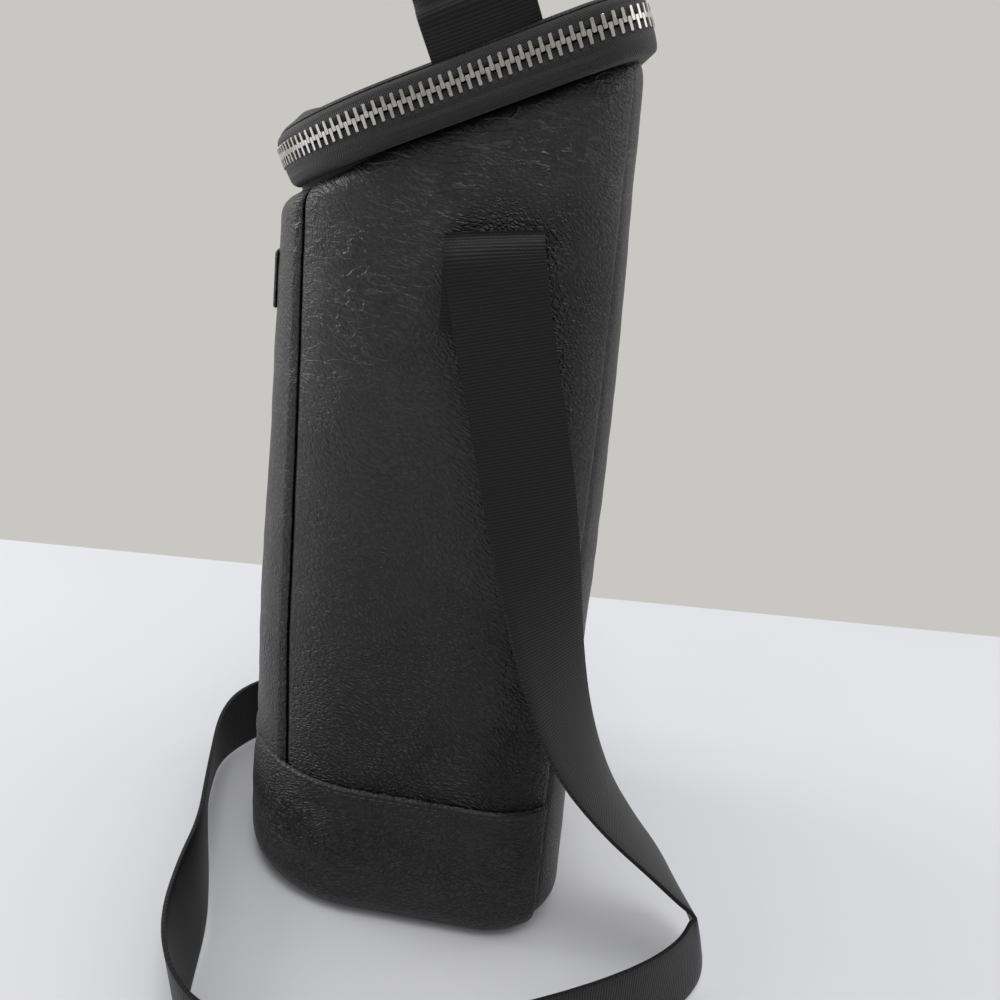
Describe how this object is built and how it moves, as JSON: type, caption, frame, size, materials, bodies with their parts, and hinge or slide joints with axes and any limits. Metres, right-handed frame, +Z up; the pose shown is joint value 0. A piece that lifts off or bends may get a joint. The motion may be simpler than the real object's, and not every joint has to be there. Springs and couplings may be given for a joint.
{
  "type": "bottle carrier",
  "caption": "Tall padded leather carrier for a single bottle, with a slanted zip-round lid, a webbing grab handle and a webbing shoulder strap.",
  "frame": {"origin": "middle of the flat underside of the base", "axes": "+Z up along the bottle, -Y to the round front with the low end of the lid, +Y to the flat back with the lid's hinge, +X to the side seen in the picture"},
  "size_m": [0.2474, 0.2226, 0.3767],
  "materials": {
    "leather": "pebbled grain, satin",
    "band_leather": "fine grain, satin",
    "lining": "plain weave",
    "padding": "foam, matt",
    "board": "sheet, matt",
    "tape": "herringbone weave",
    "webbing": "cross-ribbed weave",
    "nickel": "nickel plate",
    "plate": "smooth, satin"
  },
  "bodies": {
    "bag": {"base_band": "band_leather", "front_panel": "leather", "back_panel": "leather", "side_panel_right": "leather", "side_panel_left": "leather", "base_panel": "band_leather", "base_board": "board", "base_pad": "padding", "base_lining": "lining", "wall_padding": "padding", "wall_lining": "lining", "zip_tape_body": "tape", "hinge_strip_lower": "leather", "zip_teeth_body": "nickel", "zip_stops_body": "nickel", "strap_end_right": "webbing", "strap_end_left": "webbing", "front_plate": "plate", "shoulder_strap": "webbing"},
    "lid": {"zip_tape_lid": "tape", "hinge_strip_upper": "leather", "zip_teeth_lid": "nickel", "zip_stops_lid": "nickel", "lid_panel": "leather", "lid_board": "board", "lid_padding": "padding", "lid_lining": "lining", "handle_strap": "webbing"},
    "slider": {"zip_slider": "nickel"},
    "puller": {"puller_link": "nickel", "puller_tab": "leather"}
  },
  "joints": [
    {"name": "lid_hinge", "type": "hinge", "parent": "bag", "child": "lid", "pos_m": [0, 0.06104, 0.34192], "axis": [-1, 0, 0], "range_deg": [0, 120]},
    {"name": "slider_run", "type": "slide", "parent": "bag", "child": "slider", "axis": [0.0716, -0.9126, -0.4025], "range_m": [0, 0.02]},
    {"name": "puller_swing", "type": "hinge", "parent": "slider", "child": "puller", "pos_m": [-0.06583, 0.03721, 0.33141], "axis": [-0.0716, 0.9126, 0.4025], "range_deg": [0, 170]}
  ]
}
